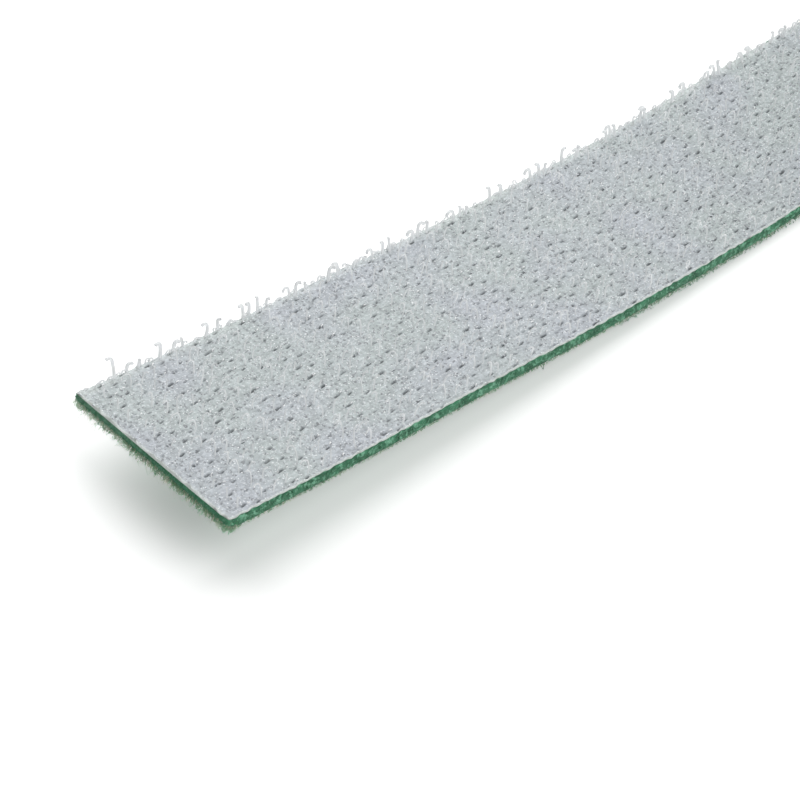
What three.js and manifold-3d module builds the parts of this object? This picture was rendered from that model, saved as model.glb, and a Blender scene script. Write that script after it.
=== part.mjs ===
// A roll of back-to-back hook and loop tape on a cardboard core, with its free end drawn out.
// A woven hook tape and a woven loop tape are bonded back to back by a thin film. The roll is
// wound with its loops outwards, so the free end lies hooks up, and it curls up to its cut edge.
// Millimetres, +Z up. X runs along the free end from its cut edge to the roll, and Y across it.
// The origin is under the middle of the whole object, on the surface that it stands on.

import * as THREE from "three";
import { mergeVertices } from "three/addons/utils/BufferGeometryUtils.js";
import Module from "manifold-3d";

const wasm = await Module();
wasm.setup();

// The three webs of the tape, and the room that hooks and loops take between two turns
const tapeWidth = 20;
const loopTapeThickness = 1.25;
const filmThickness = 0.15;
const hookTapeThickness = 0.5;
const engagedGap = 0.7;

// The free end
const freeEndLength = 150;
const liftLength = 65;
const endLift = 5.8;
const liftPower = 1.4;
const stationSpacing = 5;

// The winding. Each turn is round but for a ramp that takes it from one layer to the next, as the
// tape steps over its own inner end and the layers above keep that step.
const stepsPerTurn = 24;
const windingTurns = 8.75;
const rampSteps = 4;

// The cardboard core, which a 38 mm spindle fits
const coreBoreRadius = 19;
const coreWall = 3;
const coreRimChamfer = 0.4;
const coreSeatClearance = 0.3;

// A hook is a nylon strand. Its section is a triangle of the same area as a round strand of
// 0.2 mm, and hookStrandRadius is measured out to the triangle's corners.
const hookHeight = 1.65;
const hookReach = 0.85;
const hookTipDrop = 0.7;
const hookStrandRadius = 0.155;
const hookSides = 3;
const hookSteps = 3;
const stemHandleShare = 0.91;
const crownHandleShare = 1.14;

// Hooks stand in two rows across the tape in each period of the weave. The first row bends
// towards the cut edge. The second bends towards the roll, half a column to the side.
const hookPeriod = 5;
const hookColumnPitch = 1.6;
const hookEdgeMargin = 0.35;
const hookRowShares = [0.3, 0.7];
const rootSliceThickness = 0.2;
const hookedStretches = 3;
const periodsPerStretch = 5;

// Depths are measured square to the tape, from the face of the loops up to the hooks' roots.
const filmDepth = loopTapeThickness;
const hookTapeDepth = filmDepth + filmThickness;
const tapeThickness = hookTapeDepth + hookTapeThickness;
const rootSliceDepth = tapeThickness - rootSliceThickness;

// The winding is made of flat facets, and its corners lie further out than its facets by this
// factor.
const stepAngle = (2 * Math.PI) / stepsPerTurn;
const cornerStretch = 1 / Math.cos(stepAngle / 2);

const turnPitch = tapeThickness + engagedGap;
const windingSteps = Math.round(windingTurns * stepsPerTurn);
const coreRadius = coreBoreRadius + coreWall;
const innermostRadius = coreRadius + coreSeatClearance + tapeThickness;

// How many layers a corner of the winding lies inside the outermost one. Corners are counted
// inwards from the landing corner. The last ramp starts a turn before the tape's inner end, so
// that the turn on the core is round.
function layersIn(step) {
  const fromFirstRamp = step + stepsPerTurn - (windingSteps % stepsPerTurn);
  const rampsStarted = Math.floor(fromFirstRamp / stepsPerTurn);
  const intoRamp = fromFirstRamp - rampsStarted * stepsPerTurn;
  const climbShare = THREE.MathUtils.smoothstep(intoRamp, 0, rampSteps);
  return Math.max(0, rampsStarted - 1 + climbShare);
}

const outermostRadius = innermostRadius + turnPitch * layersIn(windingSteps);

// The outermost facet lies flat on the surface, and the free end starts at its corner.
const rollHeight = outermostRadius;
const landingAngle = -Math.PI / 2 + stepAngle / 2;

// A corner of the winding as seen from the roll's axis
function windingCorner(step, depth) {
  const angle = landingAngle + step * stepAngle;
  const facetRadius = outermostRadius - turnPitch * layersIn(step) - depth;
  return new THREE.Vector2(Math.cos(angle), Math.sin(angle)).multiplyScalar(
    facetRadius * cornerStretch,
  );
}

// The roll reaches furthest along +X at the last corner below its axis.
const rollReach = windingCorner(Math.floor(stepsPerTurn / 4) - 1, 0).x;
const cutEdgeX = -(freeEndLength + rollReach) / 2;
const rollCentre = new THREE.Vector2(cutEdgeX + freeEndLength, rollHeight);

// How far the loops' face is lifted off the surface at a distance from the cut edge
function liftAt(distance) {
  const share = Math.max(0, 1 - distance / liftLength);
  return endLift * share ** liftPower;
}

function liftSlopeAt(distance) {
  const share = Math.max(0, 1 - distance / liftLength);
  return -((endLift * liftPower) / liftLength) * share ** (liftPower - 1);
}

// A station is a corner of the free end's faces. Between two stations the faces are flat.
function stationPoint(station, depth) {
  const distance = station * stationSpacing;
  const normal = new THREE.Vector2(-liftSlopeAt(distance), 1).normalize();
  const foot = new THREE.Vector2(cutEdgeX + distance, liftAt(distance));
  return foot.addScaledVector(normal, depth);
}

function freeEndPoint(distance, depth) {
  const station = Math.floor(distance / stationSpacing);
  const share = distance / stationSpacing - station;
  return stationPoint(station, depth).lerp(stationPoint(station + 1, depth), share);
}

// The points of a face of the free end between two distances from the cut edge
function freeEndFace(from, to, depth) {
  const points = [freeEndPoint(from, depth)];
  const firstStation = Math.floor(from / stationSpacing) + 1;
  for (let station = firstStation; station * stationSpacing < to; station++) {
    points.push(stationPoint(station, depth));
  }
  points.push(freeEndPoint(to, depth));
  return points;
}

function landingPoint(depth) {
  return windingCorner(0, depth).add(rollCentre);
}

// An outline in the plane of the tape's edge, drawn out over the tape's width
function overTapeWidth(outline) {
  const geometry = new THREE.ExtrudeGeometry(new THREE.Shape(outline), {
    depth: tapeWidth,
    bevelEnabled: false,
  });
  geometry.rotateX(Math.PI / 2);
  geometry.translate(0, tapeWidth / 2, 0);
  return geometry;
}

const stretchLength = periodsPerStretch * hookPeriod;
const hookedLength = hookedStretches * stretchLength;
const bentLength = Math.ceil(Math.max(liftLength, hookedLength) / stationSpacing) * stationSpacing;

function freeEndWeb(lowDepth, highDepth) {
  return overTapeWidth([
    ...freeEndFace(0, bentLength, lowDepth),
    landingPoint(lowDepth),
    landingPoint(highDepth),
    ...freeEndFace(0, bentLength, highDepth).reverse(),
  ]);
}

// The ground of the hook tape is thinner where the slice that holds the hooks' roots lies on it.
function freeEndHookTape() {
  const unhooked = bentLength > hookedLength ? [freeEndPoint(bentLength, tapeThickness)] : [];
  return overTapeWidth([
    ...freeEndFace(0, bentLength, hookTapeDepth),
    landingPoint(hookTapeDepth),
    landingPoint(tapeThickness),
    ...unhooked,
    freeEndPoint(hookedLength, tapeThickness),
    ...freeEndFace(0, hookedLength, rootSliceDepth).reverse(),
  ]);
}

// One web of the winding, as an unbroken spiral from the landing corner in to the core
function woundWeb(lowDepth, highDepth) {
  const outerFace = [];
  const innerFace = [];
  for (let step = 0; step <= windingSteps; step++) {
    outerFace.push(windingCorner(step, lowDepth).add(rollCentre));
    innerFace.push(windingCorner(step, highDepth).add(rollCentre));
  }
  return overTapeWidth([...outerFace, ...innerFace.reverse()]);
}

function toSolid(geometry) {
  const bare = geometry.index ? geometry.toNonIndexed() : geometry.clone();
  bare.deleteAttribute("normal");
  bare.deleteAttribute("uv");
  const merged = mergeVertices(bare);
  return new wasm.Manifold(
    new wasm.Mesh({
      numProp: 3,
      vertProperties: merged.attributes.position.array,
      triVerts: new Uint32Array(merged.index.array),
    }),
  );
}

function toGeometry(solid) {
  const mesh = solid.getMesh();
  const geometry = new THREE.BufferGeometry();
  geometry.setAttribute("position", new THREE.BufferAttribute(mesh.vertProperties, mesh.numProp));
  geometry.setIndex(new THREE.BufferAttribute(mesh.triVerts, 1));
  geometry.computeVertexNormals();
  return geometry;
}

// A hook stands up out of the ground, bends over and ends in a cut tip. It is drawn with Z square
// to the tape and X the way that it bends.
function hookGeometry() {
  const root = new THREE.Vector3(0, 0, -rootSliceThickness / 2);
  const stemHandle = new THREE.Vector3(0, 0, hookHeight * stemHandleShare);
  const crownHandle = new THREE.Vector3(hookReach, 0, hookHeight * crownHandleShare);
  const tip = new THREE.Vector3(hookReach, 0, hookHeight - hookTipDrop);
  const section = [];
  for (let corner = 0; corner < hookSides; corner++) {
    const angle = (2 * Math.PI * corner) / hookSides;
    const spoke = new THREE.Vector2(Math.cos(angle), Math.sin(angle));
    section.push(spoke.multiplyScalar(hookStrandRadius));
  }
  return new THREE.ExtrudeGeometry(new THREE.Shape(section), {
    steps: hookSteps,
    extrudePath: new THREE.CubicBezierCurve3(root, stemHandle, crownHandle, tip),
    bevelEnabled: false,
  });
}

// The hooks' roots stand on the flat between two stations, square to it.
function hookPlace(distance, y, bendsToRoll) {
  const station = Math.floor(distance / stationSpacing);
  const flat = stationPoint(station + 1, tapeThickness).sub(stationPoint(station, tapeThickness));
  const root = freeEndPoint(distance, tapeThickness);
  return new THREE.Matrix4()
    .makeTranslation(root.x, y, root.y)
    .multiply(new THREE.Matrix4().makeRotationY(-flat.angle()))
    .multiply(new THREE.Matrix4().makeRotationZ(bendsToRoll ? 0 : Math.PI));
}

const columnGaps = Math.floor((tapeWidth - 2 * hookEdgeMargin) / hookColumnPitch);

function hookPlaces(from, to) {
  const places = [];
  for (let start = from; start < to; start += hookPeriod) {
    hookRowShares.forEach((share, row) => {
      const bendsToRoll = row % 2 === 1;
      const lastColumn = bendsToRoll ? columnGaps - 1 : columnGaps;
      for (let column = 0; column <= lastColumn; column++) {
        const y = (column - lastColumn / 2) * hookColumnPitch;
        places.push(hookPlace(start + share * hookPeriod, y, bendsToRoll));
      }
    });
  }
  return places;
}

// A stretch of hooks with the slice of the ground that holds their roots
function hookRows(from, to) {
  const slice = overTapeWidth([
    ...freeEndFace(from, to, rootSliceDepth),
    ...freeEndFace(from, to, tapeThickness).reverse(),
  ]);
  const hook = toSolid(hookGeometry());
  const hooks = hookPlaces(from, to).map((place) => hook.transform(place.elements));
  return toGeometry(hooks.reduce((joined, next) => joined.add(next), toSolid(slice)));
}

// The core is a plain tube of wound board, as wide as the tape, with its rims eased. Its facets
// lie along those of the winding.
function coreGeometry() {
  const inner = coreBoreRadius * cornerStretch;
  const outer = coreRadius * cornerStretch;
  const end = tapeWidth / 2;
  const profile = [
    new THREE.Vector2(inner, -end + coreRimChamfer),
    new THREE.Vector2(inner + coreRimChamfer, -end),
    new THREE.Vector2(outer - coreRimChamfer, -end),
    new THREE.Vector2(outer, -end + coreRimChamfer),
    new THREE.Vector2(outer, end - coreRimChamfer),
    new THREE.Vector2(outer - coreRimChamfer, end),
    new THREE.Vector2(inner + coreRimChamfer, end),
    new THREE.Vector2(inner, end - coreRimChamfer),
  ];
  return new THREE.LatheGeometry([...profile, profile[0]], stepsPerTurn);
}

// The least gap between each turn and the next one in, from points along the facets of a web's
// inner face to the facets of the outer face behind them
function leastGap(lowDepth, highDepth) {
  const facet = (step, depth) => {
    const ends = [windingCorner(step, depth), windingCorner(step + 1, depth)];
    return new THREE.Line3(...ends.map((end) => new THREE.Vector3(end.x, end.y, 0)));
  };
  const pointShares = [0, 0.25, 0.5, 0.75];
  const nearest = new THREE.Vector3();
  const point = new THREE.Vector3();
  let least = Infinity;
  for (let step = 0; step < windingSteps - stepsPerTurn; step++) {
    for (const share of pointShares) {
      facet(step, highDepth).at(share, point);
      for (const side of [-1, 0]) {
        facet(step + stepsPerTurn + side, lowDepth).closestPointToPoint(point, true, nearest);
        least = Math.min(least, point.distanceTo(nearest));
      }
    }
  }
  return least;
}

function woundLength(depth) {
  let length = 0;
  for (let step = 0; step < windingSteps; step++) {
    length += windingCorner(step, depth).distanceTo(windingCorner(step + 1, depth));
  }
  return length;
}

const roll = new THREE.Group();

function addPiece(name, geometry, material) {
  const mesh = new THREE.Mesh(geometry, material);
  mesh.name = name;
  roll.add(mesh);
  return mesh;
}

function finish(color, roughness) {
  return new THREE.MeshStandardMaterial({ color, roughness, metalness: 0 });
}

const kraftBoard = finish(0xb08d62, 0.85);
const loopYarn = finish(0x3d7a5c, 0.95);
const bondingFilm = finish(0xd5ddd8, 0.4);
const hookYarn = finish(0xbcc3c7, 0.6);
const hookStrand = finish(0xdfe3e5, 0.3);

const core = addPiece("core_tube", coreGeometry(), kraftBoard);
core.rotation.y = stepAngle / 2;
core.position.set(rollCentre.x, 0, rollCentre.y);

addPiece("loop_tape_winding", woundWeb(0, filmDepth), loopYarn);
addPiece("bonding_film_winding", woundWeb(filmDepth, hookTapeDepth), bondingFilm);
addPiece("hook_tape_winding", woundWeb(hookTapeDepth, tapeThickness), hookYarn);

addPiece("loop_tape_free_end", freeEndWeb(0, filmDepth), loopYarn);
addPiece("bonding_film_free_end", freeEndWeb(filmDepth, hookTapeDepth), bondingFilm);
addPiece("hook_tape_free_end", freeEndHookTape(), hookYarn);

for (let stretch = 0; stretch < hookedStretches; stretch++) {
  const from = stretch * stretchLength;
  addPiece(`hook_rows_${stretch + 1}`, hookRows(from, from + stretchLength), hookStrand);
}

console.log(`Least gap of the loop tape to itself: ${leastGap(0, filmDepth).toFixed(2)} mm`);
console.log(`Least gap of the film to itself: ${leastGap(filmDepth, hookTapeDepth).toFixed(2)} mm`);
console.log(
  `Least gap of the hook tape to itself: ${leastGap(hookTapeDepth, tapeThickness).toFixed(2)} mm`,
);
console.log(`Least gap between turns of the tape: ${leastGap(0, tapeThickness).toFixed(2)} mm`);
console.log(
  `Tape on the roll: ${woundLength(filmDepth).toFixed(0)} mm, and free: ${freeEndLength} mm`,
);

export default roll;
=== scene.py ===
# The looks of a roll of back-to-back hook and loop tape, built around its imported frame.
# The free end lies in front of the camera, hooks up. The roll stands outside its view.
# Lengths are in metres.

import math

import bpy
import numpy as np
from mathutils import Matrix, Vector


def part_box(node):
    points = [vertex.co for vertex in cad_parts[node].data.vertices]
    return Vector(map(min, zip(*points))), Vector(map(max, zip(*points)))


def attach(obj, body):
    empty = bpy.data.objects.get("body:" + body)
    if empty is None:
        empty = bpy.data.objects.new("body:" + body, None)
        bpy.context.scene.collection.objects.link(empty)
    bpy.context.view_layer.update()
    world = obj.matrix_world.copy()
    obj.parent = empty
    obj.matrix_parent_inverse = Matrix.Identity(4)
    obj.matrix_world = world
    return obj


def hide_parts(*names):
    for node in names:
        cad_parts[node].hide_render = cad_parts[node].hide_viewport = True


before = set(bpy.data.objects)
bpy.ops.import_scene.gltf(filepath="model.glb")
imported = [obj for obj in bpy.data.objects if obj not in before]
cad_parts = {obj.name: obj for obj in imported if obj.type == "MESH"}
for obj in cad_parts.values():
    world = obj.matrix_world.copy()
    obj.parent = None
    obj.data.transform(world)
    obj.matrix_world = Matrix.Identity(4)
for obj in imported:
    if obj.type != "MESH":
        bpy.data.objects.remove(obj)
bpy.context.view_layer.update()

MM = 0.001

# The tape and the core, as the frame has them
tape_low, tape_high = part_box("loop_tape_free_end")
core_low, core_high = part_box("core_tube")
CUT_X = tape_low.x
HALF_WIDTH = tape_high.y
ROLL_X = (core_low.x + core_high.x) / 2
ROLL_Z = (core_low.z + core_high.z) / 2
CORE_RADIUS = (core_high.x - core_low.x) / 2
FREE_END = ROLL_X - CUT_X
FACE_DEPTH = 1.9 * MM

# The free end rises towards its cut from where it stops lying flat, and arches a little
LIFT_LENGTH = 65 * MM
END_LIFT = 5.8 * MM
LIFT_POWER = 1.4
ARCH_MIDDLE = 27 * MM
ARCH_REACH = 10 * MM
ARCH_RISE = 0.22 * MM

# The cut is not quite square, bends to the far side and is splayed at the far corner. Each of
# these fades out over its own reach.
CUT_SKEW = 0.14 * MM
SKEW_REACH = 3 * MM
CUT_SWAY = 0.1 * MM
SWAY_REACH = 8 * MM
CUT_SPLAY = 0.22 * MM
SPLAY_REACH = 2 * MM
SPLAY_POWER = 3

# The turns of the roll, and the share of a turn in which the tape ramps over its inner end
TURN_PITCH = 2.6 * MM
TURNS = 8.77
RAMP_SHARE = 1 / 6
STEPS_PER_TURN = 120

# The depths at which the layers of the tape start, as they look once its edges are pressed
# together. The cut pinches the hook tape's ground thin and lifts the top of the loop tape.
PILE_DEPTH = 0.78 * MM
FILM_DEPTH = 1.57 * MM
GROUND_DEPTH = 1.62 * MM
PINCH_DEPTH = 1.8 * MM
CUT_LEVEL = 1.77 * MM

# How far the layers stay back from the edges of the tape
LOOP_INSET = 0.08 * MM
FILM_INSET = 0.15 * MM
WOUND_HOOK_INSET = 0.04 * MM

# The sides of the tape
NEAR = -1
FAR = 1

# The weave of the hook tape: the steps of its yarns and of its pattern, along and across
PICK = 0.62 * MM
WARP = 0.39 * MM
PERIOD = 5.01 * MM
COLUMN = 1.56 * MM


def smooth_step(value, low, high):
    """A smooth step from 0 at low to 1 at high."""
    share = np.clip((value - low) / (high - low), 0, 1)
    return share * share * (3 - 2 * share)


def winding():
    """Points along the winding: the angle from where the tape lands, the tape wound up to there
    and the radius of the loops' face. A ramp takes each turn in by one layer."""
    turns = np.linspace(0, TURNS, round(STEPS_PER_TURN * TURNS) + 1)
    from_ramp = turns + 1 - TURNS % 1
    # A thousandth of a turn more, so that rounding doesn't put off the start of a ramp.
    started = np.floor(from_ramp + 0.001)
    layers = started - 1 + smooth_step(from_ramp - started, 0, RAMP_SHARE)
    radius = ROLL_Z - TURN_PITCH * np.maximum(layers, 0)
    angle = 2 * math.pi * turns
    arc = (radius[1:] + radius[:-1]) / 2 * np.diff(angle)
    wound = np.append(0, np.cumsum(np.hypot(arc, np.diff(radius))))
    return angle, wound, radius


WINDING_ANGLE, WINDING_LENGTH, WINDING_RADIUS = winding()
WOUND_LENGTH = WINDING_LENGTH[-1]
TAPE_END = FREE_END + WOUND_LENGTH
FIRST_TURN = np.interp(2 * math.pi, WINDING_ANGLE, WINDING_LENGTH)


# Places on the tape are (along, across, depth): the distance from the cut edge, the distance from
# the tape's middle, and the height above the loops' face, square to the tape.
def on_tape(places):
    """The points of the row frame at these places, on the free end or on the roll."""
    along, across, depth = places[..., 0], places[..., 1], places[..., 2]
    from_cut = np.maximum(along, 0)
    skew = CUT_SKEW * (HALF_WIDTH - across) / (2 * HALF_WIDTH) * np.exp(-from_cut / SKEW_REACH)
    sway = CUT_SWAY * np.exp(-from_cut / SWAY_REACH)
    splay = CUT_SPLAY * np.maximum(across / HALF_WIDTH, 0) ** SPLAY_POWER * np.exp(-from_cut / SPLAY_REACH)
    across = across + sway + splay
    along = along - skew
    # Fibres that stick out beyond the cut take a little more than the whole lift.
    share = np.clip(1 - along / LIFT_LENGTH, 0, 1.1)
    arch = ARCH_RISE * np.exp(-(((along - ARCH_MIDDLE) / ARCH_REACH) ** 2))
    lift = END_LIFT * share**LIFT_POWER + arch
    slope = -END_LIFT * LIFT_POWER / LIFT_LENGTH * share ** (LIFT_POWER - 1)
    stretch = np.sqrt(1 + slope**2)
    wound = along - FREE_END
    angle = np.interp(wound, WINDING_LENGTH, WINDING_ANGLE)
    radius = np.interp(wound, WINDING_LENGTH, WINDING_RADIUS) - depth
    x = np.where(wound > 0, ROLL_X + radius * np.sin(angle), CUT_X + along - depth * slope / stretch)
    z = np.where(wound > 0, ROLL_Z - radius * np.cos(angle), lift + depth / stretch)
    return np.stack([x, across + 0 * x, z], -1)


def smooth_noise(u, v, seed):
    """Noise from -1 to 1 whose features are about one unit across. It repeats after 256 units."""
    size = 256
    table = np.random.default_rng(seed).uniform(-1, 1, (size, size))
    column = np.floor(u).astype(int)
    row = np.floor(v).astype(int)
    du = smooth_step(u - column, 0, 1)
    dv = smooth_step(v - row, 0, 1)
    corners = [table[(row + i) % size, (column + j) % size] for i in (0, 1) for j in (0, 1)]
    near = corners[0] * (1 - du) + corners[1] * du
    far = corners[2] * (1 - du) + corners[3] * du
    return near * (1 - dv) + far * dv


# Meshes

def grid_faces(rows, columns, closed=False):
    """The quads of a grid of points, closed into a tube over its columns where asked."""
    row = np.arange(rows - 1)[:, None]
    column = np.arange(columns if closed else columns - 1)[None, :]
    here = row * columns + column
    beside = row * columns + (column + 1) % columns
    return np.stack([here, beside, beside + columns, here + columns], -1).reshape(-1, 4)


def end_caps(rows, columns):
    """The two faces that close the first and the last row of a tube."""
    lid = np.arange(columns)
    return np.stack([lid[::-1], lid + (rows - 1) * columns])


def signed_volume(points, faces):
    """Six times the volume under the faces, which is negative where they face inwards."""
    corners = [points[faces[:, i]] for i in range(faces.shape[1])]
    volume = 0.0
    for second, third in zip(corners[1:-1], corners[2:]):
        volume += np.einsum("ij,ij->i", corners[0], np.cross(second, third)).sum()
    return volume


def add_piece(name, points, face_sets, materials, nodes=(), shades=None, attributes=None):
    """A piece of the object from its points and arrays of faces. shades gives the material of each
    face, and attributes holds values of the points, by name."""
    points = points.reshape(-1, 3)
    middle = points.mean(axis=0)
    if signed_volume(points - middle, face_sets[0]) < 0:
        face_sets = [faces[:, ::-1] for faces in face_sets]
    mesh = bpy.data.meshes.new(name)
    mesh.from_pydata(points.tolist(), [], [face for faces in face_sets for face in faces.tolist()])
    mesh.shade_smooth()
    for material in materials:
        mesh.materials.append(material)
    if shades is not None:
        mesh.polygons.foreach_set("material_index", shades.astype(np.int32))
    for label, values in (attributes or {}).items():
        attribute = mesh.attributes.new(label, "FLOAT_VECTOR", "POINT")
        attribute.data.foreach_set("vector", values.reshape(-1).astype(np.float32))
    piece = bpy.data.objects.new(name, mesh)
    bpy.context.scene.collection.objects.link(piece)
    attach(piece, "root")
    if nodes:
        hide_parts(*nodes)


def unit(vectors):
    """The vectors at a length of one, and those without a length as they are."""
    return vectors / np.maximum(np.linalg.norm(vectors, axis=-1, keepdims=True), 1e-12)


# The rings of a strand are turned by this direction, which is slanted to all strands
RING_DIRECTION = (0.31, 0.52, 0.79)
HOOK_SIDES = 6
FIBRE_SIDES = 3


def strand_mesh(paths, radii, sides):
    """Closed tubes round paths, as places and as arrays of faces. paths holds a row of places for
    each strand, and radii its radius."""
    count, steps, _ = paths.shape
    tangent = unit(np.gradient(paths, axis=1))
    chord = unit(paths[:, -1] - paths[:, 0])
    facing = unit(np.cross(chord, RING_DIRECTION))[:, None, :] + 0 * tangent
    sideways = unit(facing - np.einsum("ijk,ijk->ij", facing, tangent)[..., None] * tangent)
    outward = np.cross(tangent, sideways)
    turn = 2 * math.pi * np.arange(sides) / sides
    ring = (
        sideways[:, :, None, :] * np.cos(turn)[None, None, :, None]
        + outward[:, :, None, :] * np.sin(turn)[None, None, :, None]
    )
    places = paths[:, :, None, :] + radii[..., None, None] * ring
    start = (np.arange(count) * steps * sides)[:, None, None]
    sleeve = (start + grid_faces(steps, sides, closed=True)[None]).reshape(-1, 4)
    caps = (start + end_caps(steps, sides)[None]).reshape(-1, sides)
    return places.reshape(-1, 3), [sleeve, caps]


def add_strands(name, groups, sides, materials, nodes=(), seed=0):
    """A piece made of strands, from groups of (paths, radii), each strand in one of the materials."""
    rng = np.random.default_rng(seed)
    parts = []
    made = 0
    for paths, radii in groups:
        points, (sleeves, caps) = strand_mesh(paths, radii, sides)
        shade = rng.integers(0, len(materials), len(paths))
        sleeve_shades = np.repeat(shade, (paths.shape[1] - 1) * sides)
        parts.append((points, sleeves + made, caps + made, sleeve_shades, np.repeat(shade, 2)))
        made += len(points)
    places, sleeves, caps, sleeve_shades, cap_shades = map(np.concatenate, zip(*parts))
    shades = np.append(sleeve_shades, cap_shades)
    add_piece(name, on_tape(places), [sleeves, caps], materials, nodes, shades)


# Nodes of the materials

def new_material(name):
    material = bpy.data.materials.new(name)
    material.use_nodes = True
    return material, material.node_tree, material.node_tree.nodes["Principled BSDF"]


def fill_sockets(tree, sockets, values):
    """Sets each socket to a number or colour, or links it to the socket given."""
    for socket, value in zip(sockets, values):
        if isinstance(value, (int, float)):
            socket.default_value = value
        elif isinstance(value, tuple):
            socket.default_value = (*value, 1)
        else:
            tree.links.new(value, socket)


def math_node(tree, operation, first, second):
    node = tree.nodes.new("ShaderNodeMath")
    node.operation = operation
    fill_sockets(tree, node.inputs, (first, second))
    return node.outputs["Value"]


def colour_mix(tree, share, first, second, blend="MIX"):
    node = tree.nodes.new("ShaderNodeMix")
    node.data_type = "RGBA"
    node.blend_type = blend
    fill_sockets(tree, (node.inputs[0], node.inputs[6], node.inputs[7]), (share, first, second))
    return node.outputs[2]


def set_inputs(tree, node, values):
    """Sets or links the inputs of a node, by name."""
    fill_sockets(tree, [node.inputs[name] for name in values], values.values())


def toned(tree, base, tone):
    """A colour made darker or lighter by a tone round 1."""
    return colour_mix(tree, 1.0, base, tone, blend="MULTIPLY")


def shader_mix(tree, share, first, second):
    node = tree.nodes.new("ShaderNodeMixShader")
    fill_sockets(tree, node.inputs, (share, first, second))
    return node.outputs[0]


def noise_node(tree, place, scale, detail=2.0, roughness=0.5):
    node = tree.nodes.new("ShaderNodeTexNoise")
    set_inputs(tree, node, {"Vector": place, "Scale": scale, "Detail": detail, "Roughness": roughness})
    return node.outputs["Fac"]


def cells(tree, place, scale):
    """Cells about one unit of the scale apart: the distance from their middles and a tone of each."""
    node = tree.nodes.new("ShaderNodeTexVoronoi")
    set_inputs(tree, node, {"Vector": place, "Scale": scale})
    return node.outputs["Distance"], node.outputs["Color"]


def range_node(tree, value, low, high, to_low=0.0, to_high=1.0):
    node = tree.nodes.new("ShaderNodeMapRange")
    names = ("Value", "From Min", "From Max", "To Min", "To Max")
    set_inputs(tree, node, dict(zip(names, (value, low, high, to_low, to_high))))
    return node.outputs["Result"]


def object_place(tree):
    return tree.nodes.new("ShaderNodeTexCoord").outputs["Object"]


def attribute_parts(tree, name):
    """The three values of a point's attribute."""
    node = tree.nodes.new("ShaderNodeAttribute")
    node.attribute_name = name
    parts = tree.nodes.new("ShaderNodeSeparateXYZ")
    tree.links.new(node.outputs["Vector"], parts.inputs[0])
    return parts.outputs["X"], parts.outputs["Y"], parts.outputs["Z"]


def add_bump(tree, height, distance, shader):
    node = tree.nodes.new("ShaderNodeBump")
    set_inputs(tree, node, {"Distance": distance, "Height": height})
    set_inputs(tree, shader, {"Normal": node.outputs["Normal"]})


def make_yarn_grain():
    """Fine filaments: a mottle of light and dark, rare bright glints and the grain's height."""
    tree = bpy.data.node_groups.new("Yarn Grain", "ShaderNodeTree")
    tree.interface.new_socket("Place", in_out="INPUT", socket_type="NodeSocketVector")
    tree.interface.new_socket("Fineness", in_out="INPUT", socket_type="NodeSocketFloat")
    for name in ("Mottle", "Glints", "Height"):
        tree.interface.new_socket(name, in_out="OUTPUT", socket_type="NodeSocketFloat")
    entry = tree.nodes.new("NodeGroupInput")
    result = tree.nodes.new("NodeGroupOutput")
    place = entry.outputs["Place"]
    fineness = entry.outputs["Fineness"]
    coarse = noise_node(tree, place, fineness, detail=1)
    finer = math_node(tree, "MULTIPLY", fineness, 2.3)
    fine = noise_node(tree, place, finer, detail=1, roughness=0.6)
    sum_of_both = math_node(tree, "ADD", coarse, fine)
    mottle = range_node(tree, sum_of_both, 0.8, 1.2)
    sparks = range_node(tree, noise_node(tree, place, finer, detail=0), 0.68, 0.78)
    set_inputs(tree, result, {"Mottle": mottle, "Glints": sparks, "Height": fine})
    return tree


def use_grain(tree, group, place, fineness):
    node = tree.nodes.new("ShaderNodeGroup")
    node.node_tree = group
    fill_sockets(tree, node.inputs, (place, fineness))
    return node.outputs["Mottle"], node.outputs["Glints"], node.outputs["Height"]


# Materials

HOOK_LAVENDER = (0.384, 0.411, 0.445)
HOOK_GREENISH = (0.379, 0.421, 0.424)
# Painted light for the ground's rims and skirts
HOOK_RIM_LIGHT = (0.78, 0.83, 0.79)
# Painted shade, which darkens the ground's holes and crevices
HOLE_SHADE = (0.05, 0.06, 0.065)
SPECK_GREY = (0.15, 0.16, 0.17)
GLINT_WHITE = (0.74, 0.76, 0.77)

# How fine the features of the hook tape's yarns are
PATCH_FINENESS = 0.13 / MM
CROSSING_FINENESS = 2.6 / MM
SPECK_FINENESS = 5 / MM
GRAIN_FINENESS = 3 / MM


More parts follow.
